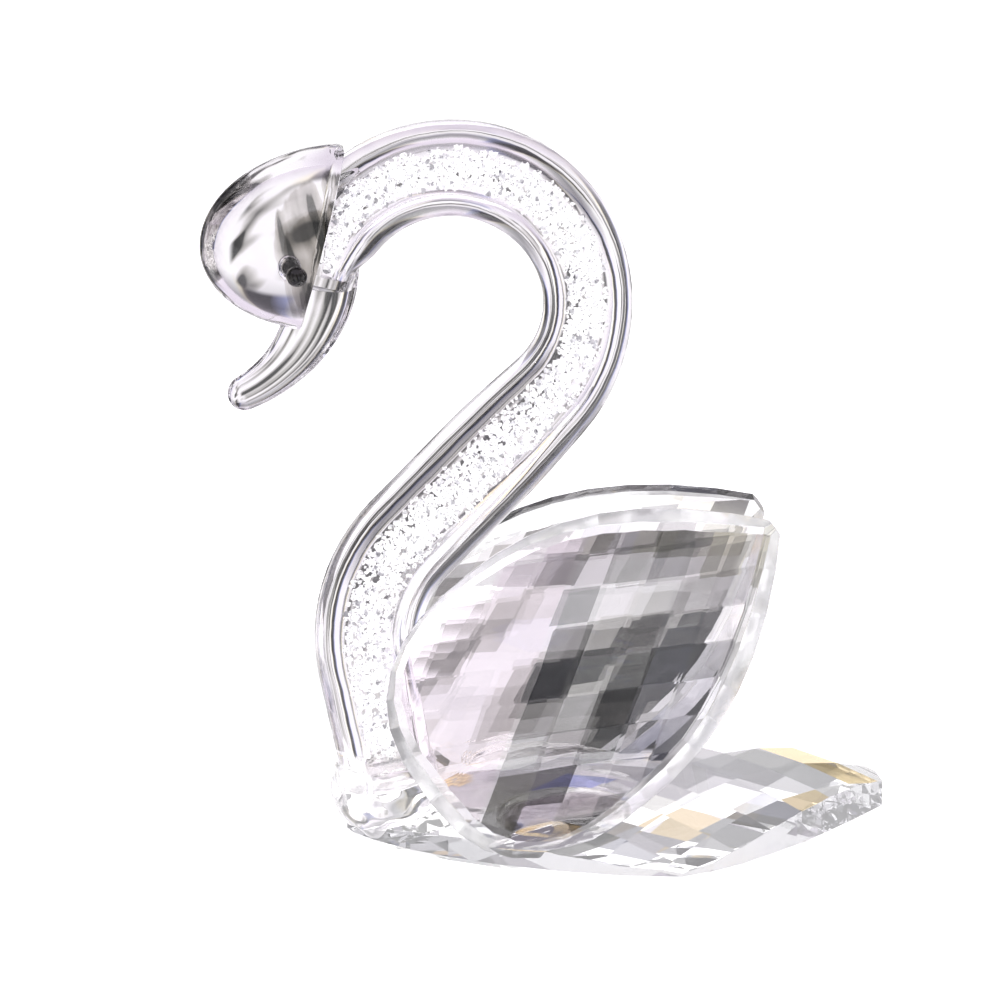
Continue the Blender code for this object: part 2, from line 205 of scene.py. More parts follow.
CAMERA_AZIMUTH = math.radians(-5)
CAMERA_ELEVATION = math.radians(15)
CAMERA_DISTANCE = 0.450
CAMERA_TARGET = Vector((-0.018, -0.0105, 0.0500))
CAMERA_LENS = 122.0
CAMERA_SENSOR = 36.0

# The table, its rim, how far it lies below the base, and where its lit middle fades out.
TABLE_RADIUS = 0.6
TABLE_RIM = 0.01
TABLE_DROP = 0.0001
TABLE_MIDDLE = (0.052, 0.058)

# The studio's walls, by the turn round it: 0 is +X and a quarter is +Y. Their dark gaps slant.
GAP_COUNT = 7.0
GAP_PHASE = 0.30
GAP_SLANT = 0.35
GAP_TONES = (
    (0.0, (0.93, 0.88, 0.95)), (0.50, WHITE), (0.58, (1.0, 0.93, 0.76)),
    (0.62, (0.20, 0.18, 0.15)), (0.66, (0.05, 0.05, 0.055)), (0.84, (0.07, 0.07, 0.08)),
    (0.92, (0.45, 0.48, 0.75)), (0.96, (0.95, 0.93, 1.0)),
)
# The patterned screens before the walls: each one's middle, the half width and half height over
# which it fades out, and its patches.
SCREEN_COUNT = 3.0
SCREEN_MIDDLE = 0.245
SCREEN_LEVEL = -0.20
SCREEN_HALF_WIDTH = (0.20, 0.24)
SCREEN_HALF_HEIGHT = (0.36, 0.44)
PATCHES_ROUND = 30.0
PATCHES_HIGH = 3.0
PATCH_SLANT = 3.0
SCREEN_TONES = (
    (0.0, (0.03, 0.03, 0.03)), (0.36, (0.08, 0.08, 0.08)), (0.40, (0.36, 0.35, 0.34)),
    (0.50, (0.72, 0.70, 0.70)), (0.56, (0.95, 0.93, 0.96)), (1.0, WHITE),
)
# The light's tiers from straight down to straight up, and the plain panels at both ends.
TIER_TONES = (
    (0.0, (0.9, 0.9, 0.9)), (0.30, WHITE), (0.52, WHITE),
    (0.60, (0.62, 0.62, 0.63)), (0.70, (0.26, 0.26, 0.27)), (0.78, (0.42, 0.42, 0.42)),
    (0.86, (1.0, 0.98, 1.0)), (1.0, WHITE),
)
PANEL_START = (0.55, 0.85)
PANEL_TONE = (0.76, 0.70, 0.79)
STUDIO_STRENGTH = 1.15
LIGHT_BOUNCES = 32
GLOSS_BOUNCES = 12


# ---------------------------------------------------------------- shader maths


class Value:
    """A shader value that plain arithmetic can be written with."""

    def __init__(self, tree, socket):
        self.tree = tree
        self.socket = socket

    def math(self, operation, *others):
        node = self.tree.nodes.new("ShaderNodeMath")
        node.operation = operation
        for index, other in enumerate((self, *others)):
            feed(self.tree, other, node.inputs[index])
        return Value(self.tree, node.outputs[0])

    def __add__(self, other):
        return self.math("ADD", other)

    __radd__ = __add__

    def __mul__(self, other):
        return self.math("MULTIPLY", other)

    __rmul__ = __mul__

    def __sub__(self, other):
        return self.math("SUBTRACT", other)

    def __rsub__(self, other):
        return (self * -1.0).math("ADD", other)

    def __truediv__(self, other):
        return self.math("DIVIDE", other)

    def __pow__(self, other):
        return self.math("POWER", other)

    def smooth(self, low, high):
        """0 below low, 1 above high, and a smooth rise between them."""
        node = self.tree.nodes.new("ShaderNodeMapRange")
        node.interpolation_type = "SMOOTHSTEP"
        for name, value in (("Value", self), ("From Min", low), ("From Max", high)):
            feed(self.tree, value, node.inputs[name])
        return Value(self.tree, node.outputs["Result"])


def feed(tree, value, socket):
    """Gives a socket its value: a link from a Value, or a plain number, colour or vector."""
    if isinstance(value, Value):
        tree.links.new(value.socket, socket)
    elif hasattr(socket.default_value, "__len__") and len(socket.default_value) == 4:
        socket.default_value = (*value[:3], 1.0)
    else:
        socket.default_value = value


class Nodes:
    """A node tree that nodes are added to by name."""

    def __init__(self, tree):
        self.tree = tree

    def node(self, kind, settings=None, output=0, **inputs):
        """Adds a node of a type, with its settings and the values or links of its sockets."""
        made = self.tree.nodes.new(kind)
        for name, value in (settings or {}).items():
            if name == "stops":
                set_stops(made.color_ramp, value)
            else:
                setattr(made, name, value)
        for name, value in inputs.items():
            feed(self.tree, value, made.inputs[name.replace("_", " ")])
        return Value(self.tree, made.outputs[output])

    def mix(self, share, first, second):
        made = self.tree.nodes.new("ShaderNodeMix")
        made.data_type = "RGBA"
        for index, value in ((0, share), (6, first), (7, second)):
            feed(self.tree, value, made.inputs[index])
        return Value(self.tree, made.outputs[2])

    def multiply(self, first, second):
        product = self.mix(1.0, first, second)
        product.socket.node.blend_type = "MULTIPLY"
        return product

    def split(self, vector):
        parts = self.tree.nodes.new("ShaderNodeSeparateXYZ")
        feed(self.tree, vector, parts.inputs[0])
        return [Value(self.tree, output) for output in parts.outputs]

    def join(self, x, y, z):
        return self.node("ShaderNodeCombineXYZ", X=x, Y=y, Z=z)

    def ramp(self, share, stops):
        return self.node("ShaderNodeValToRGB", {"stops": stops}, Fac=share)

    def place(self):
        return self.node("ShaderNodeTexCoord", output="Object")

    def noise(self, scale, detail=2.0, place=None):
        place = place or self.place()
        return self.node("ShaderNodeTexNoise", Vector=place, Scale=scale, Detail=detail)

    def bump(self, height, strength, distance):
        return self.node(
            "ShaderNodeBump", Strength=strength, Distance=distance, Height=height, output="Normal"
        )


class Finish(Nodes):
    """One material's nodes."""

    def __init__(self, name):
        self.material = bpy.data.materials.new(name)
        self.material.use_nodes = True
        super().__init__(self.material.node_tree)
        self.shader = self.tree.nodes["Principled BSDF"]

    def surface(self, **inputs):
        for name, value in inputs.items():
            feed(self.tree, value, self.shader.inputs[name.replace("_", " ")])


def set_stops(ramp, stops):
    while len(ramp.elements) > 1:
        ramp.elements.remove(ramp.elements[-1])
    for index, (place, colour) in enumerate(stops):
        stop = ramp.elements[0] if index == 0 else ramp.elements.new(place)
        stop.position = place
        stop.color = (*colour, 1.0)


# ---------------------------------------------------------------- finishes


def cut_crystal(name, face_painted_glow, painted_bevel_glow):
    """Polished crystal: each facet has its own painted reflection tone and the crystal a painted glow,
    under faint cloud and wiping marks.
    """
    finish = Finish(name)
    cloud = finish.noise(90.0, 3.0).smooth(0.35, 0.75)
    tint = finish.mix(cloud, WHITE, (0.955, 0.955, 0.965))
    # Each facet's painted reflection tone, kept in the mesh.
    facet = finish.node("ShaderNodeAttribute", {"attribute_name": "facet_painted_reflection"}, "Color")
    colour = finish.multiply(facet, tint)
    wipes = finish.noise(400.0, 2.0).smooth(0.55, 0.8)
    bevel = finish.node("ShaderNodeAttribute", {"attribute_name": "bevel"}, "Fac")
    finish.surface(
        Base_Color=colour,
        Roughness=wipes * 0.02 + bevel * 0.08,
        IOR=1.54,
        Transmission_Weight=1.0,
        # Painted glow on the faces and the bevels.
        Emission_Color=finish.mix(bevel, (face_painted_glow, face_painted_glow, face_painted_glow), (painted_bevel_glow, painted_bevel_glow, painted_bevel_glow)),
        Emission_Strength=1.0,
    )
    return finish.material


def wavy_glass(finish, painted_streaks=None):
    """Gives a finish the skin of lampworked glass, over painted dark reflections in its depth if it has
    any.
    """
    streak = finish.noise(120.0, 3.0).smooth(0.3, 0.8)
    tint = finish.mix(streak, (0.99, 0.98, 0.99), (0.95, 0.925, 0.965))
    waves = finish.noise(170.0, 1.0)
    finish.surface(
        Base_Color=tint if painted_streaks is None else finish.multiply(painted_streaks, tint),
        Roughness=streak * 0.015,
        IOR=1.48,
        Transmission_Weight=1.0,
        Normal=finish.bump(waves, 0.18, 0.0006),
    )


def clear_glass():
    """Lampworked glass: fire polished, with slow waves left in its skin."""
    finish = Finish("clear_glass")
    wavy_glass(finish)
    return finish.material


def head_glass():
    """The same glass, with streaks of painted dark reflection drawn down through it beside the throat.
    """
    finish = Finish("head_glass")
    across, _, up = finish.split(finish.place())
    ahead = (across - THROAT.x) / PAINTED_STREAK_REACH.x
    above = (up - THROAT.z) / PAINTED_STREAK_REACH.z
    away = (ahead ** 2.0 + above ** 2.0) ** 0.5
    drawn = finish.join(across * STREAKS_ACROSS + up * STREAKS_LEAN, 0.0, up * STREAKS_DOWN)
    streaks = finish.noise(1.0, 1.5, drawn)
    # Painted dark reflections, in streaks, fading out away from the throat.
    painted_streaks = finish.ramp(streaks, PAINTED_STREAK_TONES)
    ragged = away + (streaks - 0.5) * 0.6
    wavy_glass(finish, finish.mix(ragged.smooth(0.94, 1.0), painted_streaks, WHITE))
    return finish.material


def foot_glass():
    """The same glass, with a faint painted glow, flecked with fine brighter painted glints."""
    finish = Finish("foot_glass")
    wavy_glass(finish)
    painted_glints = finish.noise(900.0, 2.0).smooth(0.45, 0.65)
    finish.surface(
        # Painted glow, with fine brighter flecks.
        Emission_Color=finish.mix(painted_glints, (0.7, 0.7, 0.7), (1.0, 0.99, 0.97)),
        Emission_Strength=0.10,
    )
    return finish.material


def crushed_crystal():
    """Loose chips: broken faces made bright by a painted glow, with painted dark specks of shade, some
    of them clear and some clouded.
    """
    finish = Finish("crushed_crystal")
    tone = finish.node("ShaderNodeAttribute", {"attribute_name": "chip_tone"}, output="Fac")
    frost = finish.noise(2500.0, 2.0).smooth(0.4, 0.7)
    specks = finish.noise(3200.0, 1.0).smooth(0.60, 0.66)
    colour = finish.mix(specks * 0.85, finish.ramp(tone, CHIP_TONES), SPECK_TONE)
    finish.surface(
        Base_Color=colour,
        Roughness=0.02 + frost * 0.10,
        IOR=1.54,
        Transmission_Weight=0.35,
        # Painted glow in the chips' own colour.
        Emission_Color=colour,
        Emission_Strength=0.36,
    )
    return finish.material


def clear_resin():
    """Clear glue: glossy, a little warm, with fine ripples."""
    finish = Finish("clear_resin")
    ripples = finish.noise(500.0, 2.0)
    tint = finish.mix(ripples.smooth(0.4, 0.7), (0.99, 0.98, 0.96), (0.95, 0.94, 0.91))
    finish.surface(
        Base_Color=tint,
        Roughness=ripples * 0.02,
        IOR=1.47,
        Transmission_Weight=1.0,
        Normal=finish.bump(ripples, 0.25, 0.0003),
    )
    return finish.material


def jet_glass():
    """Black bead glass with a faint brown depth."""
    finish = Finish("jet_glass")
    depth = finish.noise(900.0, 2.0).smooth(0.3, 0.7)
    finish.surface(
        Base_Color=finish.mix(depth, (0.008, 0.008, 0.009), (0.03, 0.026, 0.024)),
        Roughness=0.04 + depth * 0.04,
        IOR=1.52,
    )
    return finish.material


# ---------------------------------------------------------------- hand tools


def let_go():
    """Leaves edit mode, with nothing selected."""
    if bpy.context.object and bpy.context.object.mode != "OBJECT":
        bpy.ops.object.mode_set(mode="OBJECT")
    bpy.ops.object.select_all(action="DESELECT")


def pick(piece):
    """Selects one piece and nothing else."""
    let_go()
    piece.select_set(True)
    bpy.context.view_layer.objects.active = piece


def start(name, primitive, **sizes):
    """Begins a piece from a primitive, and opens it for editing with all of it selected."""
    let_go()
    primitive(**sizes)
    piece = bpy.context.object
    piece.name = name
    piece.data.name = name
    bpy.ops.object.mode_set(mode="EDIT")
    bpy.ops.mesh.select_all(action="SELECT")
    return piece


def close_editing(piece):
    """Merges what meets, turns the faces outwards and leaves edit mode."""
    bpy.ops.mesh.select_all(action="SELECT")
    bpy.ops.mesh.remove_doubles(threshold=WELD)
    bpy.ops.mesh.normals_make_consistent(inside=False)
    bpy.ops.object.mode_set(mode="OBJECT")
    return piece


def settle(piece, place):
    """Puts a piece in its place and keeps the place in its mesh."""
    pick(piece)
    piece.matrix_world = place
    bpy.ops.object.transform_apply(location=True, rotation=True, scale=True)
    return piece


def grind(point, normal):
    """Grinds the piece being edited flat at a plane."""
    bpy.ops.mesh.select_all(action="SELECT")
    bpy.ops.mesh.bisect(
        plane_co=point, plane_no=normal, use_fill=True, clear_outer=True, threshold=GRIT
    )


def cut_away(piece, *cutters):
    """Takes the cutters' shapes out of a piece."""
    pick(piece)
    for cutter in cutters:
        cut = piece.modifiers.new("cut", "BOOLEAN")
        cut.operation = "DIFFERENCE"
        cut.object = cutter
        bpy.ops.object.modifier_apply(modifier=cut.name)
    return piece


def ease_edges(piece, width, angle, segments=1):
    """Eases the edges that turn by more than an angle."""
    pick(piece)
    ease = piece.modifiers.new("ease", "BEVEL")
    ease.width = width
    ease.segments = segments
    ease.limit_method = "ANGLE"
    ease.angle_limit = angle
    bpy.ops.object.modifier_apply(modifier=ease.name)


def fire_polish(piece):
    """Shades a piece smooth, save for its sharp edges."""
    pick(piece)
    bpy.ops.object.shade_smooth_by_angle(angle=FIRED_EDGE)


def store(piece, name, kind, domain, key, values):
    """Keeps a value for each face or corner of a piece in its mesh, for its finish to read."""
    piece.data.attributes.new(name, kind, domain).data.foreach_set(key, values)


def hand_over(piece, material, node):
    """Gives a finished piece its material, hangs it under the root body and hides the CAD part that it
    stands for.
    """
    piece.data.materials.clear()
    piece.data.materials.append(material)
    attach(piece, "root")
    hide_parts(node)


def throw_away(*pieces):
    for piece in pieces:
        bpy.data.objects.remove(piece, do_unlink=True)


# ---------------------------------------------------------------- leaf crystals


def leaf_outline(leaf):
    """A leaf's corners, anticlockwise: round at the start, pointed at the end."""
    round_end, point_end = leaf["roundness"]
    upper = []
    for angle in np.linspace(0.0, math.pi / 2, OUTLINE_SIDES + 1):
        share = math.cos(angle)
        upper.append((leaf["widest"] * (1 - share), (1 - share**round_end) ** (1 / round_end)))
    for share in np.linspace(0.0, 1.0, OUTLINE_SIDES + 1)[1:]:
        along = leaf["widest"] + (leaf["length"] - leaf["widest"]) * share
        upper.append((along, 1 - share**point_end))
    top = [(s, leaf["above"] * w) for s, w in upper[1:-1]]
    bottom = [(s, -leaf["below"] * w) for s, w in upper[1:-1]]
    return [upper[0], *bottom, (leaf["length"], 0.0), *reversed(top)]


def side_planes(leaf):
    """For each side of a leaf's outline, its middle point and its outward direction."""
    outline = leaf_outline(leaf)
    sides = []
    for first, last in zip(outline, outline[1:] + outline[:1]):
        outward = Vector((last[1] - first[1], first[0] - last[0], 0.0)).normalized()
        middle = Vector(((first[0] + last[0]) / 2, (first[1] + last[1]) / 2, 0.0))
        sides.append((middle, outward))
    return sides


def net_planes(leaf, chance):
    """Planes of a net of facets that follow a dome, as points and normals."""
    along = 1 / (2 * math.cos(NET_ANGLE))
    across = 1 / (2 * math.sin(NET_ANGLE))
    centre = leaf["length"] * leaf["crown"]
    reach = leaf["length"] * leaf["reach"]
    count = int(reach * (along + across) / leaf["step"]) + 1
    lines = [(index - 0.5) * leaf["step"] for index in range(-count, count + 2)]
    planes = []
    for p_low, p_high in zip(lines, lines[1:]):
        for q_low, q_high in zip(lines, lines[1:]):
            s = centre + (p_low + p_high + q_low + q_high) / 2 * math.cos(NET_ANGLE)
            w = (p_low + p_high - q_low - q_high) / 2 * math.sin(NET_ANGLE)
            if math.hypot(s - centre, w) > reach:
                continue
            p_slope = -leaf["curve"] * (p_low + p_high)
            q_slope = -leaf["curve"] * (q_low + q_high)
            level = leaf["apex"] + leaf["curve"] * (p_low * p_high + q_low * q_high)
            level += p_slope * ((s - centre) * along + w * across)
            level += q_slope * ((s - centre) * along - w * across)
            normal = Vector((-(p_slope + q_slope) * along, -(p_slope - q_slope) * across, 1.0))
            normal.normalize()
            normal.x += chance.uniform(-FACET_WANDER, FACET_WANDER)
            normal.y += chance.uniform(-FACET_WANDER, FACET_WANDER)
            planes.append((Vector((s, w, level)), normal.normalized()))
    return planes


def leaf_block(name, leaf):
    """A block of crystal, larger all round than the leaf that is ground from it."""
    piece = start(name, bpy.ops.mesh.primitive_cube_add, size=2.0)
    size = (leaf["length"], 2 * leaf["above"], 2 * leaf["apex"])
    bpy.ops.transform.resize(value=size, center_override=(0, 0, 0))
    bpy.ops.transform.translate(value=(leaf["length"] / 2, 0, 0))
    return piece


def cut_wing(name):
    """A leaf lying flat, with a net of facets on both faces and a bevel all round."""
    piece = leaf_block(name, WING)
    for middle, outward in side_planes(WING):
        grind(middle, outward)
        for face in (UP, DOWN):
            slope = outward * math.sin(WING_BEVEL) + face * math.cos(WING_BEVEL)
            grind(middle + face * WING_GIRDLE, slope)
    grind(LENGTHWISE * (WING["length"] - WING["tip_cut"]), LENGTHWISE)
    for point, normal in net_planes(WING, random.Random(SEEDS["wing front"])):
        grind(point, normal)
    for point, normal in net_planes(WING, random.Random(SEEDS["wing back"])):
        grind(Vector((point.x, point.y, -point.z)), Vector((normal.x, normal.y, -normal.z)))
    return close_editing(piece)


def net_cell(leaf, centre):
    """Which cell of a leaf's net a point lies in, counted both ways from the crown."""
    s = (centre.x - leaf["length"] * leaf["crown"]) / (2 * math.cos(NET_ANGLE))
    w = centre.y / (2 * math.sin(NET_ANGLE))
    return round((s + w) / leaf["step"]), round((s - w) / leaf["step"])


def left_wing_facet(row, column, outside, chance):
    """A facet's painted reflection: pale lilac at the root, deep greys in the middle, light to the tip.
    """
    if column <= ROOT_COLUMN:
        depth = chance.uniform(0.88, 1.0)
        return (depth, depth * 0.93, depth * 0.985)
    if not outside:
        depth = chance.choice((0.35, 0.60, 0.85, 1.0, 1.0))
    elif row >= LIGHT_ROW:
        depth = chance.choice((0.50, 0.65, 0.80, 1.0))
    elif column <= MIDDLE_COLUMN:
        depth = chance.choice((0.08, 0.22, 0.35, 0.45, 0.60, 0.75, 1.0))
    else:
        depth = chance.choice((0.20, 0.40, 0.55, 0.65, 0.80, 1.0))
    return (depth, depth * chance.uniform(0.97, 1.0), depth * chance.uniform(0.98, 1.04))


def right_wing_facet(row, column, outside, chance):
    """A facet's painted reflection: dark along the upper edge, a little warm at the tip, clear below.
    """
    if row < DARK_REFLECTION_ROW:
        depth = chance.choice((0.85, 0.95, 1.0, 1.0))
        return (depth, depth, depth)
    depth = chance.choice((0.20, 0.35, 0.55, 0.80))
    warmth = 0.80 if column >= WARM_REFLECTION_COLUMN and chance.random() < 0.4 else 0.98
    return (depth, depth * 0.97, depth * warmth)


def base_facet(row, column, outside, chance):
    """A base facet's painted reflection: mostly clear, some grey, and a few warm or blue painted
    flashes.
    """
    depth = chance.choice((0.55, 0.70, 0.80, 0.90, 0.95, 1.0))
    flash = chance.random()
    if flash < 0.04:
        return (0.85, 0.60, 0.25)
    if flash < 0.06:
        return (0.30, 0.35, 0.95)
    return (depth, depth, depth)


def is_net_facet(leaf, face):
    """True where a face follows the dome, and isn't a bevel, an edge or the flat underside."""
    slope = 2 * leaf["curve"] * leaf["reach"] * leaf["length"] / (2 * math.sin(NET_ANGLE)) ** 2
    leans_as_net = math.cos(math.atan(slope)) < abs(face.normal.z) < FLAT_FACING
    return leans_as_net and abs(face.center.z) > WING_GIRDLE


def is_bevel(face):
    """True for the sloping band round a leaf's edge."""
    return abs(abs(face.normal.z) - math.cos(WING_BEVEL)) < BEVEL_FACING


def paint_facet_reflections(piece, leaf, facet_painted_reflection, edge_painted_shade, outside_up=True):
    """Gives every facet its painted reflection by its cell of the net, the upright edges their painted
    shade, and the bevels their mark.
    """
    colours, bevels = [], []
    for face in piece.data.polygons:
        # Upright edges get a painted shade.
        colour = edge_painted_shade if abs(face.normal.z) < EDGE_FACING else WHITE
        if is_net_facet(leaf, face):
            row, column = net_cell(leaf, face.center)
            outside = (face.normal.z > 0) == outside_up
            chance = random.Random(f"{row} {column} {outside}")
            colour = facet_painted_reflection(row, column, outside, chance)
        colours += (*colour, 1.0)
        bevels.append(float(is_bevel(face)))
    store(piece, "facet_painted_reflection", "FLOAT_COLOR", "FACE", "color", colours)
    store(piece, "bevel", "FLOAT", "FACE", "value", bevels)


def wing_frame(side):
    """Places a wing: its length rises along the swan, and its face leans inwards at the top."""
    up_slope = Vector((0.0, -side * math.sin(WING_LEAN), math.cos(WING_LEAN)))
    along = LENGTHWISE * math.cos(WING_RISE) + up_slope * math.sin(WING_RISE)
    across = up_slope * math.cos(WING_RISE) - LENGTHWISE * math.sin(WING_RISE)
    root = Vector((WING_ROOT.x, -side * WING_ROOT.y, WING_ROOT.z))
    turn = Matrix((along, across, along.cross(across))).transposed()
    return Matrix.Translation(root) @ turn.to_4x4()


def cut_base(name, spare=0.0):
    """A broad leaf with a flat underside and a net of facets on its crown."""
    piece = leaf_block(name, BASE)
    grind(DOWN * spare, DOWN)
    for middle, outward in side_planes(BASE):
        grind(middle + outward * spare, outward)
        slope = (outward + DOWN).normalized()
        grind(middle + UP * BASE_LOWER_BEVEL + slope * spare, slope)
    grind(LENGTHWISE * (BASE["length"] - BASE["tip_cut"] + spare), LENGTHWISE)
    for point, normal in net_planes(BASE, random.Random(SEEDS["base"])):
        grind(point + normal * spare, normal)
    close_editing(piece)
    paint_facet_reflections(piece, BASE, base_facet, BASE_EDGE_PAINTED_SHADE)
    return settle(piece, Matrix.Translation(BASE_START) @ Matrix.Rotation(BASE_YAW, 4, "Z"))


def make_crystals(crystal, painted_glow_base_finish):
    """The base, and the two wings with a seat ground into each where it stands on the base."""
    base = cut_base("base_leaf")
    seat = cut_base("base_seat", SEAM_GAP)
    left = cut_wing("left_wing_leaf")
    pick(left)
    bpy.ops.object.duplicate()
    right = bpy.context.object
    right.name = "right_wing_leaf"
    right.data.name = right.name
    paint_facet_reflections(left, WING, left_wing_facet, LEFT_EDGE_PAINTED_SHADE)
    paint_facet_reflections(right, WING, right_wing_facet, RIGHT_EDGE_PAINTED_SHADE, outside_up=False)
    for wing, side in ((left, -1), (right, 1)):
        settle(wing, wing_frame(side))
        cut_away(wing, seat)
    for piece in (base, left, right):
        ease_edges(piece, FACET_EASE, FACET_EDGE)
    hand_over(base, painted_glow_base_finish, "base_crystal")
    hand_over(left, crystal, "left_wing")
    hand_over(right, crystal, "right_wing")
    return seat, left, right


# ---------------------------------------------------------------- neck


def straight_run(begin, length):
    """Stations straight on from one that is already there."""
    point, heading = begin
    ahead = Vector((math.cos(heading), 0.0, math.sin(heading)))
    steps = np.linspace(0.0, length, STRAIGHT_STATIONS)[1:]
    return [(point + ahead * step, heading) for step in steps]


def neck_path():
    """Stations from the foot to the throat: points with the heading of the way up."""
    stations = []
    for turn in np.linspace(HOOK_START, HOOK_END, HOOK_STATIONS):
        reach = Vector((math.cos(turn), 0.0, math.sin(turn))) * HOOK_RADIUS
        stations.append((HOOK_CENTRE + reach, turn - math.pi / 2))
    stations += straight_run(stations[-1], NECK_STRAIGHT)
    corner, heading = stations[-1]
    for turn in np.linspace(0.0, BEND_ANGLE, BEND_STATIONS)[1:]:
        bent = heading + turn
        shift = (math.sin(bent) - math.sin(heading), 0.0, math.cos(heading) - math.cos(bent))
        stations.append((corner + Vector(shift) * BEND_RADIUS, bent))
    stations += straight_run(stations[-1], FOOT_STRAIGHT)
    return [(point, heading + math.pi) for point, heading in reversed(stations)]


class NeckLine:
    """The neck's centreline, read by the fraction of its length from the foot."""

    def __init__(self):
        path = neck_path()
        points = np.array([tuple(point) for point, heading in path])
        lengths = np.linalg.norm(np.diff(points, axis=0), axis=1)
        distance = np.concatenate(([0.0], np.cumsum(lengths)))
        self.length = distance[-1]
        self.fractions = distance / self.length
        self.points = points
        self.headings = np.array([heading for point, heading in path])

    def at(self, fraction):
        """The line's point and heading at a fraction."""
        point = [np.interp(fraction, self.fractions, column) for column in self.points.T]
        return Vector(point), float(np.interp(fraction, self.fractions, self.headings))

    def fraction(self, distance):
        """A distance along the neck as a fraction of its length."""
        return distance / self.length


def eased(fraction, marks, values):
    """A value between marks that leaves and reaches each mark level."""
    index = min(max(np.searchsorted(marks, fraction) - 1, 0), len(marks) - 2)
    share = (fraction - marks[index]) / (marks[index + 1] - marks[index])
    share = share * share * (3 - 2 * share)
    return values[index] + (values[index + 1] - values[index]) * share


def draw_rod(name, line, begin, end, radii, sides, spare=0.0):
    """Draws a round rod along the neck's line, a ring at a time, as glass is drawn."""
    count = max(2, round((end - begin) * line.length / RING_STEP))
    fractions = np.linspace(begin, end, count + 1)
    centre, heading = line.at(begin)
    radius = eased(begin, TUBE_FRACTIONS, radii) + spare
    piece = start(
        name, bpy.ops.mesh.primitive_circle_add, vertices=sides, radius=radius, fill_type="NGON"
    )
    bpy.ops.transform.rotate(
        value=heading - math.pi / 2, orient_axis="Y", center_override=(0, 0, 0)
    )
    bpy.ops.transform.translate(value=centre)
    for fraction in fractions[1:]:
        next_centre, next_heading = line.at(fraction)
        next_radius = eased(fraction, TUBE_FRACTIONS, radii) + spare
        bpy.ops.mesh.extrude_region_move(
            TRANSFORM_OT_translate={"value": next_centre - centre}
        )
        bpy.ops.transform.rotate(
            value=next_heading - heading, orient_axis="Y", center_override=next_centre
        )
        bpy.ops.transform.resize(value=[next_radius / radius] * 3, center_override=next_centre)
        centre, heading, radius = next_centre, next_heading, next_radius
    return piece


def lengthen_start(bore, line):
    """Runs the bore's open end a little past the foot, so that it breaks through."""
    foot, heading = line.at(0.0)
    ahead = Vector((math.cos(heading), 0.0, math.sin(heading)))
    for vertex in bore.data.vertices:
        if (vertex.co - foot).dot(ahead) < RING_STEP / 4:
            vertex.co -= ahead * BORE_OVERRUN


def make_neck(glass, resin):
    """The tube with its blind bore, ground flat at the throat, and the stopper in its foot."""
    line = NeckLine()
    tube = draw_rod("neck_glass", line, 0.0, 1.0, TUBE_RADII, TUBE_SIDES)
    grind(SEAM_POINT, SEAM_NORMAL)
    close_editing(tube)
    ease_edges(tube, TUBE_LIP, FIRED_EDGE, 4)
    bore = draw_rod("bore", line, 0.0, BORE_END, BORE_RADII, BORE_SIDES)
    grind(SEAM_POINT - SEAM_NORMAL * SEAM_WALL, SEAM_NORMAL)
    close_editing(bore)
    plug = line.fraction(STOPPER_LENGTH)
    gap = line.fraction(SEAM_GAP)
    stopper = draw_rod("foot_plug", line, gap, plug + gap, BORE_RADII, BORE_SIDES, -SEAM_GAP)
    close_editing(stopper)
    ease_edges(stopper, STOPPER_LIP, ROOT_EDGE, 2)
    fire_polish(stopper)
    hand_over(stopper, resin, "neck_stopper")
    lengthen_start(bore, line)
    cut_away(tube, bore)
    fire_polish(tube)
    hand_over(tube, glass, "neck_tube")
    seat = draw_rod("neck_seat", line, 0.0, 1.0, TUBE_RADII, TUBE_SIDES, SEAM_GAP)
    grind(SEAM_POINT + SEAM_NORMAL * SEAM_GAP, SEAM_NORMAL)
    close_editing(seat)
    throw_away(bore)
    return line, seat


def chip_shapes():
    """A few broken chips, each a small block knocked to a fragment by flat breaks."""
    chance = random.Random(SEEDS["chip shapes"])
    shapes = []
    for _ in range(CHIP_KINDS):
        piece = start("chip", bpy.ops.mesh.primitive_cube_add, size=2.0)
        for _ in range(CHIP_BREAKS):
            normal = Vector([chance.gauss(0, 1) for _ in range(3)]).normalized()
            grind(normal * chance.uniform(*CHIP_BREAK_REACH), normal)
        bpy.ops.mesh.select_all(action="SELECT")
        bpy.ops.mesh.quads_convert_to_tris()
        close_editing(piece)
        corners = np.array([tuple(vertex.co) for vertex in piece.data.vertices])
        faces = np.array([tuple(face.vertices) for face in piece.data.polygons])
        shapes.append((corners, faces))
        throw_away(piece)
    return shapes


def chip_place(line, fraction, size, chance):
    """A chance place in the bore for a chip of a size, at a fraction of the neck's length."""
    centre, heading = line.at(fraction)
    room = eased(fraction, TUBE_FRACTIONS, BORE_RADII) - SEAM_GAP - size
    reach = room * math.sqrt(chance.random())
    around = chance.uniform(0, 2 * math.pi)
    upright = Vector((-math.sin(heading), 0.0, math.cos(heading)))
    place = centre + upright * reach * math.cos(around)
    place.y += reach * math.sin(around)
    return place


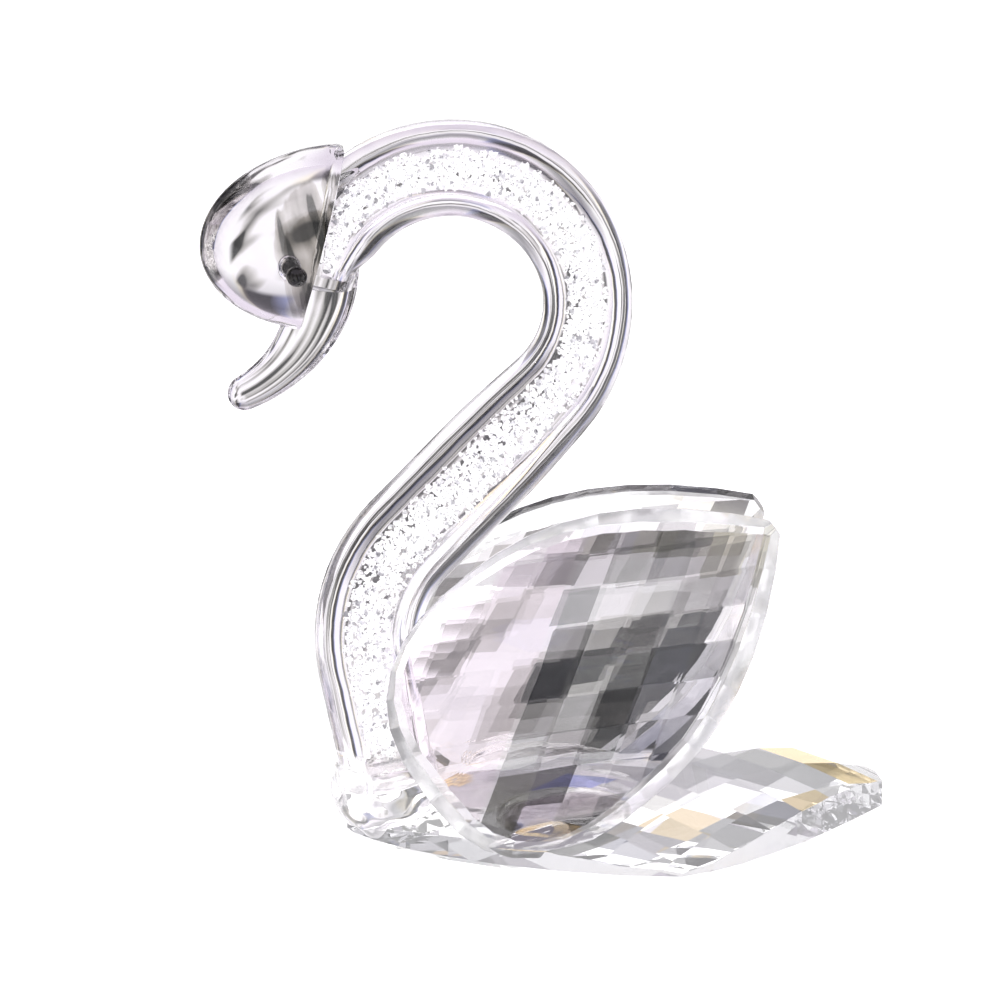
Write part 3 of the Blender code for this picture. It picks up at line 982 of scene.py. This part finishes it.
def fill_neck(line, chips_finish):
    """Pours chips into the bore: copies of a few shapes, each turned and sized by chance."""
    chance = random.Random(SEEDS["chips"])
    shapes = chip_shapes()
    first = line.fraction(STOPPER_LENGTH + CHIP_CLEARANCE)
    last = BORE_END - line.fraction(CHIP_CLEARANCE)
    corners, faces, tones = [], [], []
    used = 0
    for number in range(CHIP_COUNT):
        fraction = first + (last - first) * (number + chance.random()) / CHIP_COUNT
        size = chance.uniform(*CHIP_SIZES)
        place = chip_place(line, fraction, size, chance)
        if (place - SEAM_POINT).dot(SEAM_NORMAL) > -SEAM_WALL - SEAM_GAP - size:
            continue
        spin = chance.uniform(0, 2 * math.pi)
        axis = [chance.gauss(0, 1) for _ in range(3)]
        own_corners, own_faces = chance.choice(shapes)
        own = own_corners @ np.array(Matrix.Rotation(spin, 3, axis)).T
        own *= size / np.linalg.norm(own, axis=1).max()
        corners.append(own + np.array(place))
        faces.append(own_faces + used)
        used += len(own)
        tones += [chance.random()] * len(own)
    mesh = bpy.data.meshes.new("neck_chips")
    mesh.from_pydata(np.concatenate(corners).tolist(), [], np.concatenate(faces).tolist())
    piece = bpy.data.objects.new("neck_chips", mesh)
    store(piece, "chip_tone", "FLOAT", "POINT", "value", tones)
    bpy.context.scene.collection.objects.link(piece)
    hand_over(piece, chips_finish, "crystal_chips")


# ---------------------------------------------------------------- head and beak


def ellipsoid(name, centre, radii, segments, rings, tilt=0.0, spare=0.0):
    """A ball drawn out to three radii and tilted, open for editing."""
    piece = start(
        name, bpy.ops.mesh.primitive_uv_sphere_add, segments=segments, ring_count=rings, radius=1.0
    )
    bpy.ops.transform.resize(value=[r + spare for r in radii], center_override=(0, 0, 0))
    bpy.ops.transform.rotate(value=-tilt, orient_axis="Y", center_override=(0, 0, 0))
    bpy.ops.transform.translate(value=centre)
    return piece


def head_ball(name, spare=0.0):
    """The head's ovoid, ground flat at the seam and melted down at the nape."""
    piece = ellipsoid(name, HEAD_CENTRE, HEAD_RADII, segments=72, rings=48, tilt=HEAD_TILT, spare=spare)
    grind(SEAM_POINT + SEAM_NORMAL * (SEAM_GAP - spare), -SEAM_NORMAL)
    grind(NAPE + NAPE_SLOPE * spare, NAPE_SLOPE)
    close_editing(piece)
    ease_edges(piece, SEAM_LIP, FIRED_EDGE, 4)
    return piece


def make_head(glass, jet):
    """The head with a socket at each side, and a bead in each socket."""
    head = head_ball("head_glass")
    for name, node, side in (("left_eye_bead", "left_eye", -1), ("right_eye_bead", "right_eye", 1)):
        low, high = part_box(node)
        centre = (low + high) / 2
        radii = Vector((EYE_RADIUS, EYE_RADIUS, EYE_RADIUS))
        bead = ellipsoid(name, centre, radii, segments=28, rings=18)
        close_editing(bead)
        fire_polish(bead)
        hand_over(bead, jet, node)
        socket = ellipsoid("socket", centre, radii, segments=28, rings=18, spare=SEAM_GAP)
        close_editing(socket)
        cut_away(head, socket)
        throw_away(socket)
    fire_polish(head)
    hand_over(head, glass, "head")


def groove_ring(piece):
    """Presses shallow lengthwise grooves into a ring before it is drawn."""
    rod = bmesh.from_edit_mesh(piece.data)
    for vertex in rod.verts:
        around = math.atan2(vertex.co.y, vertex.co.x)
        vertex.co *= 1.0 - GROOVE_DEPTH * (0.5 + 0.5 * math.cos(BEAK_GROOVES * around))
    bmesh.update_edit_mesh(piece.data)


def scale_ring(depth, width, centre):
    """Scales the selected ring by its depth in the middle plane and by its width."""
    bpy.ops.transform.resize(value=(depth, width, depth), center_override=centre)


def beak_station(share):
    """The middle and the heading of the beak at a share of its length from the root."""
    heading = BEAK_HEADING + BEAK_TURN * share
    shift_x = math.sin(BEAK_HEADING) - math.sin(heading)
    shift_z = math.cos(heading) - math.cos(BEAK_HEADING)
    return BEAK_START + Vector((shift_x, 0.0, shift_z)) * BEAK_RADIUS, heading


def make_beak(glass, neck_seat):
    """A grooved, flattened rod drawn down in one arc to a round tip."""
    length = abs(BEAK_TURN) * BEAK_RADIUS
    tip = BEAK_DEPTHS[-1]
    marks = np.linspace(0, length - tip, len(BEAK_DEPTHS))
    piece = start(
        "beak_glass", bpy.ops.mesh.primitive_circle_add, vertices=BEAK_SIDES, radius=1.0,
        fill_type="NGON",
    )
    groove_ring(piece)
    bpy.ops.transform.rotate(
        value=BEAK_HEADING - math.pi / 2, orient_axis="Y", center_override=(0, 0, 0)
    )
    depth, width = BEAK_DEPTHS[0], BEAK_WIDTHS[0]
    scale_ring(depth, width, Vector((0, 0, 0)))
    bpy.ops.transform.translate(value=BEAK_START)
    centre, heading = BEAK_START, BEAK_HEADING
    body = np.linspace(0, length - tip, BEAK_RINGS)[1:]
    rounding = [length - tip + tip * math.sin(turn) for turn in np.linspace(*TIP_TURN, TIP_RINGS)]
    for distance in (*body, *rounding):
        place, turned = beak_station(distance / length)
        past = max(0.0, distance - (length - tip)) / tip
        shrink = math.sqrt(1 - past * past)
        new_depth = float(np.interp(distance, marks, BEAK_DEPTHS)) * shrink
        new_width = float(np.interp(distance, marks, BEAK_WIDTHS)) * shrink
        bpy.ops.mesh.extrude_region_move(TRANSFORM_OT_translate={"value": place - centre})
        bpy.ops.transform.rotate(
            value=turned - heading, orient_axis="Y", center_override=place
        )
        scale_ring(new_depth / depth, new_width / width, place)
        centre, heading, depth, width = place, turned, new_depth, new_width
    close_editing(piece)
    head_seat = head_ball("head_seat", SEAM_GAP)
    cut_away(piece, head_seat, neck_seat)
    ease_edges(piece, BEAK_LIP, ROOT_EDGE, 3)
    throw_away(head_seat)
    fire_polish(piece)
    hand_over(piece, glass, "beak")


# ---------------------------------------------------------------- foot and glue


def make_lumpy(piece, size, height):
    """Lets a piece sag into soft lumps, only ever inwards."""
    pick(piece)
    clouds = bpy.data.textures.new("lumps", "CLOUDS")
    clouds.noise_scale = size
    clouds.noise_depth = 1
    sag = piece.modifiers.new("sag", "DISPLACE")
    sag.texture = clouds
    sag.texture_coords = "LOCAL"
    sag.strength = height
    sag.mid_level = 1.0
    bpy.ops.object.modifier_apply(modifier=sag.name)


def make_foot(glass, resin, base_seat, neck_seat, wings):
    """The lump of glass round the neck's foot, and the glue under each wing."""
    foot = ellipsoid("foot_lump", FOOT_CENTRE, FOOT_RADII, segments=96, rings=64)
    close_editing(foot)
    make_lumpy(foot, LUMP_SIZE, LUMP_HEIGHT)
    bpy.ops.object.mode_set(mode="EDIT")
    grind(Vector((0.0, 0.0, FOOT_UNDERSIDE)), DOWN)
    close_editing(foot)
    cut_away(foot, base_seat, neck_seat, *wings)
    fire_polish(foot)
    hand_over(foot, glass, "neck_foot")
    for name, node, side, wing in (
        ("left_glue_pad", "left_wing_glue", -1, wings[0]),
        ("right_glue_pad", "right_wing_glue", 1, wings[1]),
    ):
        centre = Vector((PAD_CENTRE.x, -side * PAD_CENTRE.y, PAD_CENTRE.z))
        pad = ellipsoid(name, centre, PAD_RADII, segments=48, rings=32)
        close_editing(pad)
        cut_away(pad, base_seat, wing)
        fire_polish(pad)
        hand_over(pad, resin, node)


# ---------------------------------------------------------------- studio


def make_camera():
    """The camera, aimed at the swan's left side from a little above."""
    back = Vector((
        math.sin(CAMERA_AZIMUTH) * math.cos(CAMERA_ELEVATION),
        -math.cos(CAMERA_AZIMUTH) * math.cos(CAMERA_ELEVATION),
        math.sin(CAMERA_ELEVATION),
    ))
    data = bpy.data.cameras.new("camera")
    data.lens = CAMERA_LENS
    data.sensor_width = CAMERA_SENSOR
    data.clip_start = 0.01
    camera = bpy.data.objects.new("camera", data)
    camera.location = CAMERA_TARGET + back * CAMERA_DISTANCE
    camera.rotation_euler = back.to_track_quat("Z", "Y").to_euler()
    bpy.context.scene.collection.objects.link(camera)
    bpy.context.scene.camera = camera


def make_floor():
    """A round white table top. Glass shows only its middle, and the studio beyond that."""
    floor = start(
        "floor", bpy.ops.mesh.primitive_circle_add, vertices=96, radius=TABLE_RADIUS,
        fill_type="NGON",
    )
    bpy.ops.mesh.inset(thickness=TABLE_RIM)
    bpy.ops.transform.translate(value=DOWN * TABLE_DROP)
    bpy.ops.object.mode_set(mode="OBJECT")
    finish = Finish("light_table")
    mottle = finish.noise(30.0).smooth(0.3, 0.7)
    finish.surface(
        Base_Color=finish.mix(mottle, (0.9, 0.9, 0.9), (0.88, 0.88, 0.88)),
        Roughness=0.9,
        Emission_Color=WHITE,
        Emission_Strength=0.95,
    )
    place = finish.place()
    reach = finish.node("ShaderNodeVectorMath", {"operation": "LENGTH"}, "Value", Vector=place)
    middle = 1.0 - reach.smooth(*TABLE_MIDDLE)
    seen = finish.node("ShaderNodeLightPath", output="Is Camera Ray")
    clear = finish.tree.nodes.new("ShaderNodeBsdfTransparent")
    blend = finish.tree.nodes.new("ShaderNodeMixShader")
    feed(finish.tree, middle.math("MAXIMUM", seen), blend.inputs[0])
    finish.tree.links.new(clear.outputs[0], blend.inputs[1])
    finish.tree.links.new(finish.shader.outputs[0], blend.inputs[2])
    surface = finish.tree.nodes["Material Output"].inputs["Surface"]
    finish.tree.links.new(blend.outputs[0], surface)
    floor.data.materials.append(finish.material)


def make_studio():
    """Light walls all round with dark gaps, screens before them, and panels above and below."""
    world = bpy.data.worlds.new("studio")
    bpy.context.scene.world = world
    world.use_nodes = True
    tree = world.node_tree
    studio = Nodes(tree)
    x, y, z = studio.split(studio.node("ShaderNodeTexCoord", output="Generated"))
    turn = y.math("ARCTAN2", x) * (1 / (2 * math.pi))
    wall = studio.ramp((turn * GAP_COUNT + GAP_PHASE + z * GAP_SLANT).math("FRACT"), GAP_TONES)
    spot = studio.join(turn * PATCHES_ROUND + z * PATCH_SLANT, z * PATCHES_HIGH, 0.0)
    cloth = studio.noise(1.0, 1.0, spot)
    cloth.socket.node.noise_dimensions = "2D"
    screen = studio.ramp(cloth, SCREEN_TONES)
    across = (turn * SCREEN_COUNT - SCREEN_MIDDLE * SCREEN_COUNT + 0.5).math("FRACT")
    beside = (across - 0.5).math("ABSOLUTE").smooth(*SCREEN_HALF_WIDTH)
    past = (z - SCREEN_LEVEL).math("ABSOLUTE").smooth(*SCREEN_HALF_HEIGHT)
    walls = studio.mix((1.0 - beside) * (1.0 - past), wall, screen)
    steep = z.math("ABSOLUTE").smooth(*PANEL_START)
    tiers = studio.ramp(z * 0.5 + 0.5, TIER_TONES)
    lit = studio.multiply(studio.mix(steep, walls, PANEL_TONE), tiers)
    seen = studio.node("ShaderNodeLightPath", output="Is Camera Ray")
    background = tree.nodes["Background"]
    feed(tree, studio.mix(seen, lit, WHITE), background.inputs["Color"])
    background.inputs["Strength"].default_value = STUDIO_STRENGTH
    scene = bpy.context.scene
    scene.view_settings.view_transform = "Standard"
    scene.cycles.max_bounces = LIGHT_BOUNCES
    scene.cycles.transmission_bounces = LIGHT_BOUNCES
    scene.cycles.glossy_bounces = GLOSS_BOUNCES
    scene.cycles.transparent_max_bounces = LIGHT_BOUNCES


def build():
    """Makes every piece from the base up, and then the studio round them."""
    crystal = cut_crystal("wing_crystal", WING_PAINTED_GLOW, BEVEL_PAINTED_GLOW)
    # The base's crystal, with a painted glow of its own.
    painted_glow_base_finish = cut_crystal("base_crystal", BASE_PAINTED_GLOW, BASE_PAINTED_GLOW)
    glass = clear_glass()
    resin = clear_resin()
    base_seat, left_wing, right_wing = make_crystals(crystal, painted_glow_base_finish)
    line, neck_seat = make_neck(glass, resin)
    fill_neck(line, crushed_crystal())
    make_head(head_glass(), jet_glass())
    make_beak(glass, neck_seat)
    make_foot(foot_glass(), resin, base_seat, neck_seat, (left_wing, right_wing))
    throw_away(base_seat, neck_seat)
    make_camera()
    make_floor()
    make_studio()


build()
